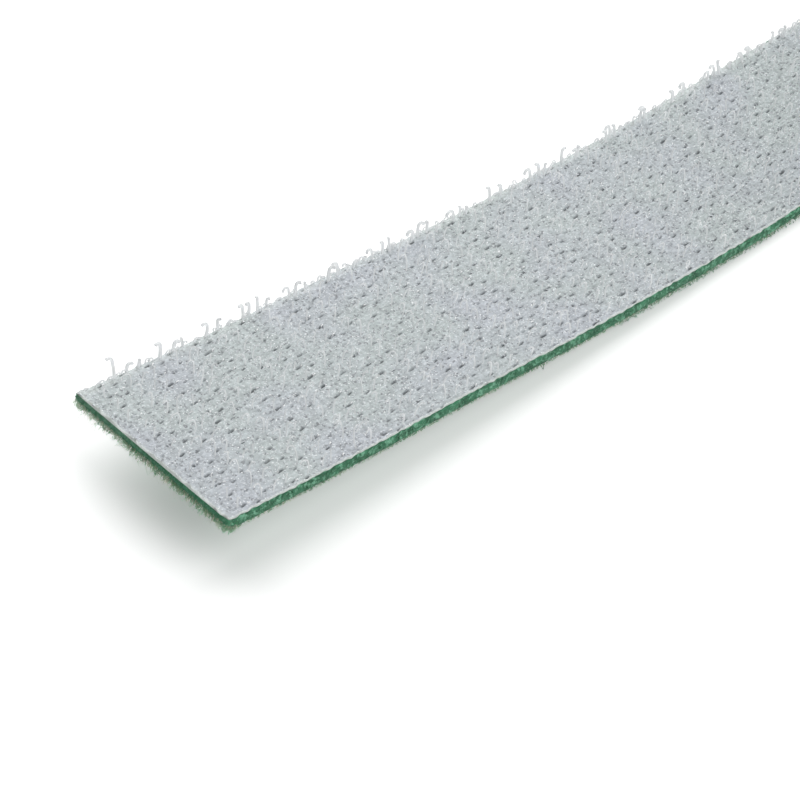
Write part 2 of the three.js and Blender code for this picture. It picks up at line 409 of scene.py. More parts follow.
def hook_yarn_material(grain):
    """Pale yarns in two casts, with painted shade in the ground's holes and crevices and painted light on
    its rims.
    """
    material, tree, shader = new_material("hook_tape_yarn")
    place = object_place(tree)
    # The weave attribute holds painted shade, painted light on the rims and skirts, and the cast across the
    # tape
    dark, rim_light_and_hem, side = attribute_parts(tree, "weave")
    patch = math_node(tree, "ADD", noise_node(tree, place, PATCH_FINENESS, detail=1), side)
    base = colour_mix(tree, range_node(tree, patch, 0.36, 0.62), HOOK_LAVENDER, HOOK_GREENISH)
    # Each crossing of the yarns has its own tone, with painted shade towards its edges. Rare specks are
    # dark, and rare glints are painted highlights.
    from_middle, tone = cells(tree, place, CROSSING_FINENESS)
    base = toned(tree, base, range_node(tree, from_middle, 0.3, 0.7, 1.05, 0.9))
    base = toned(tree, base, range_node(tree, tone, 0.2, 0.8, 0.9, 1.1))
    _, speck = cells(tree, place, SPECK_FINENESS)
    base = colour_mix(tree, range_node(tree, speck, 0.72, 0.86, 0, 0.8), base, SPECK_GREY)
    mottle, glints, height = use_grain(tree, grain, place, GRAIN_FINENESS)
    base = toned(tree, base, range_node(tree, mottle, 0, 1, 0.93, 1.07))
    base = colour_mix(tree, glints, base, GLINT_WHITE)
    # Painted light on the rims and skirts, paler towards the far edge
    base = colour_mix(tree, rim_light_and_hem, base, HOOK_RIM_LIGHT)
    # Painted shade in the holes and crevices
    base = colour_mix(tree, dark, base, HOLE_SHADE)
    set_inputs(tree, shader, {"Base Color": base, "Roughness": 0.45})
    add_bump(tree, height, 0.03 * MM, shader)
    return material


# A flat tone of painted light for the cut face, standing in for how light falls on it
LOOP_CUT_LIGHT = (0.065, 0.28, 0.15)
LOOP_DARK = (0.024, 0.11, 0.055)
LOOP_GREEN = (0.057, 0.235, 0.125)
LOOP_LIGHT = (0.19, 0.46, 0.3)


def loop_yarn_material(grain):
    """Green yarn, with a flat tone of painted light on its cut, which stands in for how light falls on that
    face.
    """
    material, tree, shader = new_material("loop_yarn")
    place = object_place(tree)
    mottle, _, height = use_grain(tree, grain, place, 1.6 / MM)
    patch = noise_node(tree, place, 0.9 / MM, detail=3, roughness=0.65)
    base = colour_mix(tree, range_node(tree, patch, 0.38, 0.62), LOOP_DARK, LOOP_GREEN)
    base = colour_mix(tree, range_node(tree, mottle, 0.5, 1.0), base, LOOP_LIGHT)
    parts = tree.nodes.new("ShaderNodeSeparateXYZ")
    tree.links.new(place, parts.inputs[0])
    at_cut = range_node(tree, parts.outputs["X"], CUT_X + 0.35 * MM, CUT_X + 0.1 * MM)
    base = colour_mix(tree, at_cut, base, LOOP_CUT_LIGHT)
    set_inputs(tree, shader, {"Base Color": base, "Roughness": 0.85})
    set_inputs(tree, shader, {"Sheen Weight": 0.15, "Sheen Roughness": 0.5})
    add_bump(tree, height, 0.1 * MM, shader)
    return material


KRAFT_LIGHT = (0.52, 0.35, 0.19)
KRAFT_DARK = (0.33, 0.2, 0.1)


def kraft_material(grain):
    """Clouded board, dark between its plies and along its seam."""
    material, tree, shader = new_material("kraft_board")
    place = object_place(tree)
    mottle, _, height = use_grain(tree, grain, place, 1.1 / MM)
    clouds = noise_node(tree, place, 0.12 / MM, detail=4, roughness=0.6)
    base = colour_mix(tree, range_node(tree, clouds, 0.3, 0.7), KRAFT_DARK, KRAFT_LIGHT)
    base = toned(tree, base, range_node(tree, mottle, 0, 1, 0.86, 1.1))
    ply, seam, _ = attribute_parts(tree, "plies")
    base = colour_mix(tree, ply, base, KRAFT_DARK)
    base = colour_mix(tree, seam, base, KRAFT_DARK)
    set_inputs(tree, shader, {"Base Color": base, "Roughness": 0.8})
    add_bump(tree, height, 0.05 * MM, shader)
    return material


FILM_GREEN = (0.2, 0.34, 0.26)
FILM_HAZE = (0.42, 0.52, 0.46)


def film_material():
    material, tree, shader = new_material("bonding_film")
    haze = noise_node(tree, object_place(tree), 0.9 / MM, detail=3)
    base = colour_mix(tree, haze, FILM_GREEN, FILM_HAZE)
    set_inputs(tree, shader, {"Base Color": base, "Roughness": 0.4})
    return material


def plain_material(name, colour, roughness):
    material, tree, shader = new_material(name)
    set_inputs(tree, shader, {"Base Color": colour, "Roughness": roughness})
    return material


# The strands' colour and how much they hide of what is behind them, and the roots' colour and
# roughness
HOOK_STRAND = ((0.79, 0.8, 0.805), 0.92)
CLEAR_STRAND = ((0.77, 0.785, 0.79), 0.5)
FLOAT_STRAND = ((0.78, 0.8, 0.82), 0.75)
# The roots' near-white colour is a painted glint
HOOK_ROOT_GLINT = ((0.9, 0.91, 0.92), 0.25)
STRAND_ROUGHNESS = 0.15
STRAND_GLOW = 0.5
STRAND_SHADOW = 0.3

# The pile, and the clearer fibres of its frayed ends
PILE_ROUGHNESS = 0.8
PILE_GREENS = {
    "pile_dark": (0.033, 0.145, 0.075),
    "pile_green": (0.075, 0.265, 0.15),
    "pile_light": (0.19, 0.45, 0.29),
}
FRAYED_BODY = 0.8
CUT_GREENS = {
    "pile_leaf": (0.12, 0.5, 0.26),
    "pile_olive": (0.38, 0.62, 0.38),
    "pile_tan": (0.82, 0.8, 0.7),
}


def strand_material(name, colour, body):
    """Clear strands. Half of their light shines through, and they throw a faint shadow. body is how
    much they hide of what is behind them."""
    material, tree, shader = new_material(name)
    set_inputs(tree, shader, {"Base Color": colour, "Roughness": STRAND_ROUGHNESS})
    through = tree.nodes.new("ShaderNodeBsdfTranslucent")
    set_inputs(tree, through, {"Color": colour})
    lit = shader_mix(tree, STRAND_GLOW, shader.outputs[0], through.outputs[0])
    in_shadow = tree.nodes.new("ShaderNodeLightPath").outputs["Is Shadow Ray"]
    share = range_node(tree, in_shadow, 0, 1, body, STRAND_SHADOW * body)
    clear = tree.nodes.new("ShaderNodeBsdfTransparent")
    seen = shader_mix(tree, share, clear.outputs[0], lit)
    set_inputs(tree, tree.nodes["Material Output"], {"Surface": seen})
    return material


# The hook tape's ground, with its yarns and holes as real relief

YARN_SWELL = 0.035 * MM
YARN_ROUND = 0.07 * MM
YARN_WANDER = 0.18
SWELL_SPREAD = 0.45
FUZZ = 0.012 * MM
SLOW_SWELL = 0.006 * MM
CROWN_LEVEL = 0.06 * MM
# The depth below the crowns over which painted shade darkens the crevices
CREVICE_SHADE_DEPTH = 0.17 * MM
HOLE_LEVEL = 0.24 * MM

# Along the edges the ground is rounded, its weft turns in small loops and stands back a little.
# At the cut it is ragged and sinks.
EDGE_ROUND = 0.1 * MM
EDGE_REACH = 0.7 * MM
EDGE_SETBACK = 0.13 * MM
WEFT_LOOP = 0.06 * MM
LOOP_WANDER = 0.05 * MM
CUT_REACH = 0.25 * MM
CUT_RAGGED = 0.12 * MM
CUT_RIPPLE = 0.05 * MM
CUT_SETBACK = 0.02 * MM
CUT_SINK = 0.05 * MM

# The rows in which the edges go down to the underside, as shares of the way, and how far in
SKIRT_SHARES = (0.4, 0.8, 1.0)
SKIRT_INSET = 0.1 * MM

# How far and how strongly painted light pales the ground's rims and skirts, how much paler it is towards the
# far edge, and the change of cast across the tape
RIM_REACH = 0.16 * MM
RIM_LIGHT = 0.8
SKIRT_LIGHT = 0.75
HEM_PALE = 0.3
SIDE_CAST = 0.07

# Where the gaps' columns run: their place, their slant to the tape and how much they wander
DRIFT = 0.12 * MM
DRIFT_SLANT = 0.012
DRIFT_WANDER = 0.12 * MM

# The gaps between the yarns in one period and column of the weave: along, across, half their length and
# width, and how dark they are, which sets both the depth of their relief and their painted shade
MAIN_HOLES = 2 * MM
HOLE_SLANT = 0.17
HOLE_KINDS = (MM, MM, MM, MM, 1) * np.array([
    (0, 0, 0.33, 0.095, 1.0),
    (1.2, -0.38, 0.26, 0.09, 0.64),
    (2.47, 0.36, 0.28, 0.085, 0.66),
    (3.7, 0.74, 0.22, 0.09, 0.44),
    (4.0, -0.1, 0.2, 0.085, 0.28),
    (4.5, 0.66, 0.16, 0.085, 0.24),
])


def holes_at(along, across):
    """How deep each place lies in one of the weave's gaps, from 0 to 1. Each gap differs a little in
    place, size and depth."""
    jitter = np.random.default_rng(5).normal(0, 1, (len(HOLE_KINDS), 256, 64, 4))
    wander = smooth_noise(along / (9 * MM), across / (4 * MM), 28)
    drift = DRIFT - DRIFT_SLANT * along + DRIFT_WANDER * wander
    hole = np.zeros(along.shape)
    for kind, (place, aside, half_length, half_width, dark) in enumerate(HOLE_KINDS):
        start = MAIN_HOLES + place
        shift = aside + drift
        period = np.round((along - start) / PERIOD).astype(int)
        column = np.round((across - shift) / COLUMN).astype(int)
        wobble = jitter[kind, period % jitter.shape[1], column % jitter.shape[2]]
        size = np.clip(1 + 0.12 * wobble[..., 2], 0.6, 1.4)
        du = along - start - period * PERIOD - 0.06 * MM * wobble[..., 0]
        dv = across - shift - column * COLUMN - 0.03 * MM * wobble[..., 1]
        dv = dv - HOLE_SLANT * du
        reach = (du / (half_length * size)) ** 4 + (dv / (half_width * size)) ** 2
        depth = np.clip(dark * (1 + 0.24 * wobble[..., 3]), 0, 1)
        hole = np.maximum(hole, depth * np.exp(-reach))
    return hole


def weave_height(along, across):
    """The relief of a plain weave with wandering yarns, from its crowns down."""
    x = along / PICK + YARN_WANDER * smooth_noise(along / (1.7 * MM), across / (0.9 * MM), 21)
    y = across / WARP + YARN_WANDER * smooth_noise(along / (0.9 * MM), across / (1.9 * MM), 22)
    pick = np.floor(x)
    end = np.floor(y)
    spread = 1 + SWELL_SPREAD * smooth_noise(pick + 0.5, end + 0.5, 23)
    warp = np.cos(math.pi * (x - 0.5)) * (1 - 2 * (end % 2)) * YARN_SWELL * spread
    weft = -np.cos(math.pi * (y - 0.5)) * (1 - 2 * (pick % 2)) * YARN_SWELL * spread
    warp = warp - YARN_ROUND * (2 * (y - end - 0.5)) ** 2
    weft = weft - YARN_ROUND * (2 * (x - pick - 0.5)) ** 2
    fuzz = FUZZ * smooth_noise(along / (0.2 * MM), across / (0.16 * MM), 24)
    swell = SLOW_SWELL * smooth_noise(along / (2.6 * MM), across / (1.9 * MM), 25)
    return np.maximum(warp, weft) - YARN_SWELL + fuzz + swell


def skirt_rows(edge, underside):
    """The rows in which one edge of the ground's face goes down to the underside."""
    rows = []
    for share in SKIRT_SHARES:
        row = edge.copy()
        row[:, 2] = edge[:, 2] * (1 - share) + underside * share
        row[:, 1] -= np.sign(edge[:, 1]) * SKIRT_INSET * share**2
        rows.append(row)
    return np.stack(rows, 1)


def ground_marks(across, to_edge, weave, hole, at_cut):
    """How much painted shade and painted light each place of the ground's face gets: painted shade in holes
    and crevices, and painted light along its rims, also paler towards the far edge."""
    crevice_shade = 0.3 * np.clip(-weave / CREVICE_SHADE_DEPTH - 0.3, 0, 1)
    # Painted light on the rims and the cut, where the rounded edge turns away from the lamps
    rim_light_and_hem = RIM_LIGHT * np.maximum(smooth_step(-to_edge, -RIM_REACH, 0), at_cut)
    far_edge = smooth_step(across, HALF_WIDTH - 1.4 * MM, HALF_WIDTH - 0.2 * MM)
    rim_light_and_hem = np.maximum(rim_light_and_hem, HEM_PALE * far_edge)
    return np.clip(np.maximum(hole * 1.6 - 0.14, crevice_shade * (1 - rim_light_and_hem)), 0, 0.95), rim_light_and_hem


def hook_ground(name, start, end, steps, material, nodes):
    """A stretch of the hook tape's ground as a closed slab, woven on its face and edges. steps are
    those of its grid, along and across."""
    along_step, across_step = steps
    along = np.linspace(start, end, round((end - start) / along_step) + 1)
    across = np.linspace(-HALF_WIDTH, HALF_WIDTH, round(2 * HALF_WIDTH / across_step) + 1)
    a, b = np.meshgrid(along, across, indexing="ij")
    hole = holes_at(a, b)
    weave = weave_height(a, b)
    side = np.sign(b)
    to_edge = HALF_WIDTH - np.abs(b)
    rounding = np.clip(1 - to_edge / EDGE_ROUND, 0, 1)
    rounded = EDGE_ROUND * (1 - np.sqrt(1 - 0.9 * rounding**2))
    height = weave + CROWN_LEVEL - HOLE_LEVEL * hole - rounded
    loops = WEFT_LOOP * np.abs(np.sin(math.pi * a / (2 * PICK)))
    loops = loops + LOOP_WANDER * smooth_noise(a / (0.4 * MM), side * 7, 26)
    b = b + side * (loops - EDGE_SETBACK) * smooth_step(-to_edge, -EDGE_REACH, 0)
    at_cut = smooth_step(-a, -CUT_REACH, 0)
    ragged = CUT_RAGGED * smooth_noise(across / (0.6 * MM), across * 0, 27)
    ragged = ragged + CUT_RIPPLE * np.cos(2 * math.pi * across / (3 * WARP)) + CUT_SETBACK
    a = a + ragged[None, :] * at_cut
    height = height - CUT_SINK * at_cut**4
    # The underside is one quad wide, and the cut pinches it up.
    face = np.stack([a, b, FACE_DEPTH + height], -1)
    underside = GROUND_DEPTH + (PINCH_DEPTH - GROUND_DEPTH) * at_cut[:, 0]
    near_skirt = skirt_rows(face[:, 0], underside)
    far_skirt = skirt_rows(face[:, -1], underside)
    places = np.concatenate([near_skirt[:, ::-1], face, far_skirt], axis=1)
    rows, columns, _ = places.shape
    faces = [grid_faces(rows, columns, closed=True), end_caps(rows, columns)]
    skirt = len(SKIRT_SHARES)
    # The points carry painted shade in holes and crevices and painted light on the rims
    dark, rim_light_and_hem = ground_marks(across, to_edge, weave, hole, at_cut)
    marks = np.zeros(places.shape)
    marks[:, skirt:-skirt, 0] = dark
    marks[:, skirt:-skirt, 1] = rim_light_and_hem
    # Painted light on the skirts, whose sides get less light
    marks[:, :skirt, 1] = SKIRT_LIGHT
    marks[:, -skirt:, 1] = SKIRT_LIGHT
    marks[..., 2] = SIDE_CAST * places[..., 1] / HALF_WIDTH
    add_piece(name, on_tape(places), faces, [material], nodes,
              attributes={"weave": marks})


# The stretches of the ground: name, start, end, steps of its grid along and across, and the node
# that it replaces. The last one is outside the photo.
FINE_STEPS = (0.1 * MM, 0.07 * MM)
COARSE_STEPS = (0.16 * MM, 0.12 * MM)
GROUND_STRETCHES = [
    ("hook_tape_ground", 0, 30 * MM, FINE_STEPS, ["hook_tape_free_end"]),
    ("hook_tape_ground_middle", 30 * MM, 60 * MM, FINE_STEPS, []),
    ("hook_tape_ground_far", 60 * MM, 90 * MM, FINE_STEPS, []),
    ("hook_tape_ground_landing", 90 * MM, FREE_END, COARSE_STEPS, []),
]


# The hooks

HOOK_RADIUS = 0.15 * MM
CLEAR_HOOK_RADIUS = 0.5 * HOOK_RADIUS
LOOP_RADIUS = 0.09 * MM
LOOP_SPACING = 0.8 * MM
ROOT_DEPTH = 0.12 * MM
FAR_COLUMN = 6

# The share of a hook that is its stem, the stem's bow against the reach, its lean to the side, and
# how much the strands differ in thickness
STEM_SHARE = 0.45
STEM_BOW = 0.12
SIDE_LEAN = 0.14
THICKNESS_SPREAD = 0.08


def crooks(along, across, height, reach, droop, radius, steps, seed):
    """Hooks that rise from their places to a height and bend over by a reach, which is negative
    towards the cut edge. A hook with a droop of 1 ends pointing straight down."""
    rng = np.random.default_rng(seed)
    count = len(along)
    t = np.linspace(0, 1, steps)[None, :]
    height, reach, droop = height[:, None], reach[:, None], droop[:, None]
    bend = np.abs(reach) / 2
    rise = np.clip(t / STEM_SHARE, 0, 1)
    turn = np.clip((t - STEM_SHARE) / (1 - STEM_SHARE), 0, 1) * math.pi * droop
    forward = reach / 2 * (1 - np.cos(turn)) - STEM_BOW * reach * np.sin(math.pi * rise)
    up = (height - bend) * rise + bend * np.sin(turn)
    aside = rng.normal(0, SIDE_LEAN, (count, 1)) * up
    path = np.stack([along[:, None] + forward, across[:, None] + aside, FACE_DEPTH - ROOT_DEPTH + up], -1)
    path[..., 1] = np.clip(path[..., 1], -HALF_WIDTH, HALF_WIDTH)
    return path, radius * (1 + THICKNESS_SPREAD * rng.normal(0, 1, (count, 1)))


# Each kind of hook: place in the period, height, reach and the share of them that is there
HOOK_UNITS = (MM, MM, MM, 1)
HOOK_KINDS = HOOK_UNITS * np.array([
    (3.9, 1.75, -0.75, 0.95),
    (5.15, 1.3, 0.55, 0.9),
    (6.5, 1.05, 0.1, 0.85),
])
EDGE_HOOK_KINDS = HOOK_UNITS * np.array([
    (2.3, 1.5, -0.62, 1.0),
    (3.5, 1.4, -0.55, 0.95),
    (4.2, 1.35, -0.12, 0.9),
    (5.2, 0.65, 0.3, 0.8),
])

# The hooks at the start of the far edge: place, height, reach and droop
CORNER_HOOKS = HOOK_UNITS * np.array([
    (3.6, 2.25, -0.95, 0.62),
    (5.0, 0.95, 0.6, 0.85),
    (6.15, 1.15, 0.08, 0.3),
    (8.4, 1.85, -0.6, 0.8),
    (9.95, 1.15, 0.5, 0.9),
    (11.0, 0.9, -0.12, 0.6),
    (13.4, 1.85, -0.85, 0.72),
    (14.9, 1.15, 0.3, 0.95),
    (16.05, 0.6, 0.3, 1.0),
    (17.65, 1.5, -0.4, 0.9),
    (18.25, 1.6, -0.35, 0.95),
    (19.25, 1.7, -0.25, 0.7),
    (20.35, 0.95, 0.3, 1.0),
])
CORNER_END = 21.5 * MM


def corner_hooks(steps, seed):
    """The hooks at the start of the far edge, one by one."""
    along, height, reach, droop = CORNER_HOOKS.T
    across = np.full(len(along), HALF_WIDTH - 2 * HOOK_RADIUS)
    return [crooks(along, across, height, reach, droop, HOOK_RADIUS, steps, seed)]


def edge_loops(start, end, side, steps, seed):
    """The low loops of monofilament that turn round the last warp at one edge of the tape."""
    rng = np.random.default_rng(seed)
    count = round((end - start) / LOOP_SPACING)
    along = start + (np.arange(count) + rng.uniform(0, 1, count)) * LOOP_SPACING
    across = side * (HALF_WIDTH - rng.uniform(0.1, 0.4, count) * MM)
    height = rng.uniform(0.28, 0.62, count) * MM
    reach = rng.choice([-1, 1], count) * rng.uniform(0.25, 0.5, count) * MM
    droop = rng.uniform(0.9, 1.3, count)
    return [crooks(along, across, height, reach, droop, LOOP_RADIUS, steps, seed)]


def hook_rows(kinds, start, end, columns, radius, steps, seed):
    """Groups of hooks of these kinds for a stretch of tape and the columns given. Each differs a
    little in its place, height, reach and droop, and one in ten bends the other way."""
    rng = np.random.default_rng(seed)
    periods = np.arange(math.floor(start / PERIOD) - 2, math.ceil(end / PERIOD) + 1)
    groups = []
    for kind, (home, height, reach, share) in enumerate(kinds):
        row, column = np.meshgrid(periods, columns, indexing="ij")
        count = row.size
        along = row.ravel() * PERIOD + home + rng.normal(0, 0.2, count) * MM
        edge = HALF_WIDTH - 2 * HOOK_RADIUS
        across = np.clip(column.ravel() * COLUMN + rng.normal(0, 0.12, count) * MM, -edge, edge)
        kept = (along > start) & (along <= end) & (rng.random(count) < share)
        count = kept.sum()
        tall = height * (1 + 0.12 * rng.normal(0, 1, count))
        wide = reach * (1 + 0.2 * rng.normal(0, 1, count))
        wide = wide * np.where(rng.random(count) < 0.1, -1, 1)
        droop = np.clip(rng.normal(0.88, 0.14, count), 0.5, 1.25)
        kind_seed = seed * 10 + kind
        groups.append(crooks(along[kept], across[kept], tall, wide, droop, radius, steps, kind_seed))
    return groups


# Floats and hook roots: the ranges of their length and radius, and how deep they lie
FLOAT_LENGTH = (0.25 * MM, 0.6 * MM)
FLOAT_RADIUS = (0.04 * MM, 0.065 * MM)
FLOAT_SINK = 0.07 * MM
ROOT_LENGTH = (0.2 * MM, 0.36 * MM)
ROOT_RADIUS = (0.04 * MM, 0.07 * MM)
ROOT_SINK = 0.06 * MM


def floats_on(name, start, end, per_mm2, material, seed):
    """Loose monofilament that lies on the ground between the hooks, in short low arcs."""
    rng = np.random.default_rng(seed)
    count = round((end - start) * 2 * HALF_WIDTH * per_mm2 / MM**2)
    t = np.linspace(0, 1, 5)[None, :]
    along = rng.uniform(start, end, (count, 1))
    across = rng.uniform(-HALF_WIDTH + 0.3 * MM, HALF_WIDTH - 0.3 * MM, (count, 1))
    length = rng.uniform(*FLOAT_LENGTH, (count, 1))
    turn = rng.normal(0, 0.35, (count, 1)) + math.pi / 2 * (rng.random((count, 1)) < 0.6)
    bow = rng.normal(0, 0.06, (count, 1)) * MM * np.sin(math.pi * t)
    rise = rng.uniform(0.03, 0.1, (count, 1)) * MM * np.sin(math.pi * t)
    x = along + length * (t - 0.5) * np.cos(turn) - bow * np.sin(turn)
    y = across + length * (t - 0.5) * np.sin(turn) + bow * np.cos(turn)
    path = np.stack([np.maximum(x, 0.1 * MM), y, FACE_DEPTH - FLOAT_SINK + rise], -1)
    radii = rng.uniform(*FLOAT_RADIUS, (count, 1))
    add_strands(name, [(path, radii)], 4, [material], seed=seed)


def root_glints(name, start, end, material, seed):
    """The short steep stretch of monofilament beside each large gap, where a hook leaves the ground. Its
    near-white colour is a painted glint.
    """
    rng = np.random.default_rng(seed)
    periods = np.arange(math.ceil(start / PERIOD), math.floor(end / PERIOD))
    row, column = np.meshgrid(periods, np.arange(-FAR_COLUMN, FAR_COLUMN + 1), indexing="ij")
    count = row.size
    along = MAIN_HOLES + row.ravel() * PERIOD + rng.normal(0.5, 0.12, count) * MM
    across = column.ravel() * COLUMN + rng.normal(0, 0.1, count) * MM
    across = np.clip(across, -HALF_WIDTH + 0.4 * MM, HALF_WIDTH - 0.4 * MM)
    kept = rng.random(count) < 0.9
    along = along[kept, None]
    across = across[kept, None]
    t = np.linspace(0, 1, 4)[None, :]
    length = rng.uniform(*ROOT_LENGTH, along.shape)
    lean = rng.normal(0.3, 0.3, along.shape)
    rise = FACE_DEPTH - ROOT_SINK + length * np.sin(math.pi * t) * 0.6
    path = np.stack([along + length * (t - 0.5), across + length * (t - 0.5) * lean, rise], -1)
    radii = rng.uniform(*ROOT_RADIUS, along.shape)
    add_strands(name, [(path, radii)], 5, [material], seed=seed)


# The webs: a cross-section carried along the tape

EDGE_BAND = 0.4 * MM
EDGE_SWELL = 0.06 * MM


def web_places(along, low, high, inset, side_steps, face_steps, fluff, lip, seed):
    """The places of a web's surface: rows along the tape, each once round its cross-section. fluff
    is how far its edges and lower face are pushed in and out, and lip how far its upper corners
    rise."""
    up = np.linspace(0, 1, side_steps)
    half = HALF_WIDTH - inset
    swell = EDGE_SWELL * np.sin(math.pi * up)
    over = np.linspace(-1, 1, face_steps)[1:-1]
    top = np.array([half - EDGE_BAND, 0, EDGE_BAND - half])
    across = np.concatenate([half + swell, top, -half - swell[::-1], over * half])
    level = np.concatenate([up, 0 * top + 1, up[::-1], np.zeros(len(over))])
    a = along[:, None]
    low = np.broadcast_to(low, along.shape)[:, None]
    high = np.broadcast_to(high, along.shape)[:, None]
    across = across[None, :] + 0 * a
    depth = low + (high - low) * level[None, :]
    side = smooth_step(np.abs(across), HALF_WIDTH - EDGE_BAND, HALF_WIDTH - 0.1 * MM) * (level > 0)
    coarse = smooth_noise(a / (0.9 * MM), depth / (0.45 * MM) + 9 * np.sign(across), seed)
    fine = smooth_noise(a / (0.27 * MM), depth / (0.2 * MM) + 9 * np.sign(across), seed + 1)
    lump = smooth_noise(a / (0.6 * MM), across / (0.6 * MM), seed + 2)
    across = across + np.sign(across) * side * fluff * (0.5 * coarse + 0.6 * fine)
    depth = depth - (1 - level) ** 2 * fluff * (0.3 + 0.8 * lump)
    at_corner = (level == 1) * (np.abs(across) > half - 0.3 * MM)
    depth = depth + lip * at_corner * smooth_step(a, 0.2 * MM, 0.8 * MM) * (1 + 0.4 * coarse)
    return np.stack([a + 0 * across, across, depth], -1)


def web(name, along, low, high, inset, material, node, side_steps=3, face_steps=4, fluff=0, lip=0,
        seed=0):
    """One web of the tape, closed at both ends, in place of its solid in the frame."""
    places = web_places(along, low, high, inset, side_steps, face_steps, fluff, lip, seed)
    rows, columns, _ = places.shape
    faces = [grid_faces(rows, columns, closed=True), end_caps(rows, columns)]
    add_piece(name, on_tape(places), faces, [material], [node])


# The pile

LOOSE_SHARE = 0.3
# Fibres stay above the floor, and between the inner turns they fill the gap below them
LOWEST_OUTSIDE = 0.02 * MM
LOWEST_BETWEEN_TURNS = -0.6 * MM


def add_pile(name, root, outward, look, materials, seed, steps=6):
    """A piece made of fibres. Each starts at its root and bows out along its outward direction. Most
    come back to the surface as loops, and the others end loose. look is their height, spread and
    radius."""
    height, spread, radius = look
    rng = np.random.default_rng(seed + 1)
    count = len(root)
    t = np.linspace(0, 1, steps)[None, :, None]
    wander = rng.normal(0, 1, (count, 1, 3)) * spread
    tall = height * rng.uniform(0.5, 1.1, (count, 1, 1))
    loose = rng.random((count, 1, 1)) < LOOSE_SHARE
    bow = np.where(loose, t**0.8, np.sin(math.pi * t))
    curl = rng.normal(0, 1, (count, 1, 3)) * spread * 0.3
    twist = rng.uniform(0, 2 * math.pi, (count, 1, 1))
    path = root[:, None, :] + unit(outward)[:, None, :] * tall * bow + wander * t
    path = path + curl * (np.sin(6 * t + twist) - np.sin(twist))
    between_turns = path[..., 0] > FREE_END + FIRST_TURN
    lowest = np.where(between_turns, LOWEST_BETWEEN_TURNS, LOWEST_OUTSIDE)
    path[..., 2] = np.maximum(path[..., 2], lowest)
    radii = radius * rng.uniform(0.75, 1.25, (count, 1))
    add_strands(name, [(path, radii)], FIBRE_SIDES, materials, seed=seed)


# Kinds of fluff: the depths between which it is rooted, how far down it leans for one step out, and
# its height, spread and radius
EDGE_FLUFF = (PILE_DEPTH, FILM_DEPTH, 0.4, 0.08 * MM, 0.075 * MM, 0.018 * MM)
EDGE_FRINGE = (0.7 * MM, 0.9 * MM, 2.0, 0.18 * MM, 0.06 * MM, 0.01 * MM)
PRESSED_FLUFF = (0.35 * MM, PILE_DEPTH, 0.4, 0.09 * MM, 0.075 * MM, 0.018 * MM)

# The other fibres: their height, spread and radius
FACE_LOOPS = (0.65 * MM, 0.25 * MM, 0.024 * MM)
CUT_LOOPS = (0.65 * MM, 0.22 * MM, 0.01 * MM)
CUT_ENDS = (0.09 * MM, 0.07 * MM, 0.02 * MM)


def edge_pile(name, start, end, side, kind, materials, per_mm, seed, steps=6):
    """The fluff along one edge of the loop tape."""
    low, high, lean, *look = kind
    rng = np.random.default_rng(seed)
    count = round((end - start) / MM * per_mm)
    depth = rng.uniform(low, high, count)
    across = side * (HALF_WIDTH - rng.uniform(0.0, 0.1, count) * MM)
    root = np.stack([rng.uniform(start, end, count), across, depth], -1)
    outward = np.stack([rng.normal(0, 0.5, count), side + 0 * depth, rng.normal(-lean, 0.4, count)], -1)
    add_pile(name, root, outward, look, materials, seed, steps)


def face_pile(name, start, end, materials, per_mm2, seed, steps=6):
    """The loops that stand on the lower face of the loop tape."""
    rng = np.random.default_rng(seed)
    count = round((end - start) * 2 * HALF_WIDTH * per_mm2 / MM**2)
    across = rng.uniform(-HALF_WIDTH + 0.4 * MM, HALF_WIDTH - 0.4 * MM, count)
    root = np.stack([rng.uniform(start, end, count), across, np.full(count, PILE_DEPTH)], -1)
    outward = np.stack([rng.normal(0, 0.35, count), rng.normal(0, 0.35, count), np.full(count, -1.0)], -1)
    add_pile(name, root, outward, FACE_LOOPS, materials, seed, steps)


def cut_end_pile(name, materials, count, seed):
    """The pile that was cut through with the tape and hangs out under its edge."""
    rng = np.random.default_rng(seed)
    across = rng.uniform(-HALF_WIDTH, HALF_WIDTH, count)
    along = rng.uniform(0.0, 0.9, count) * MM
    depth = rng.uniform(0.9, 1.25, count) * MM
    root = np.stack([along, across, depth], -1)
    outward = np.stack([rng.normal(-0.4, 0.35, count), rng.normal(0, 0.3, count), np.full(count, -1.0)], -1)
    add_pile(name, root, outward, CUT_LOOPS, materials, seed)


def cut_face_pile(name, materials, count, seed):
    """The frayed yarn ends on the cut through the loop tape."""
    rng = np.random.default_rng(seed)
    across = rng.uniform(-HALF_WIDTH + 0.1 * MM, HALF_WIDTH - 0.1 * MM, count)
    depth = rng.uniform(1.15 * MM, CUT_LEVEL - 0.04 * MM, count)
    root = np.stack([0 * depth, across, depth], -1)
    outward = np.stack([0 * depth - 1, rng.normal(0, 0.4, count), rng.normal(-0.5, 0.3, count)], -1)
    add_pile(name, root, outward, CUT_ENDS, materials, seed, steps=5)


# The core

CORE_WALL = 3 * MM
CORE_EASE = 0.4 * MM
CORE_STEPS = 192
SEAM_PITCH = 46 * MM
SEAM_DEPTH = 0.07 * MM
PLY_THICKNESS = 0.5 * MM
PLY_DEPTH = 0.05 * MM


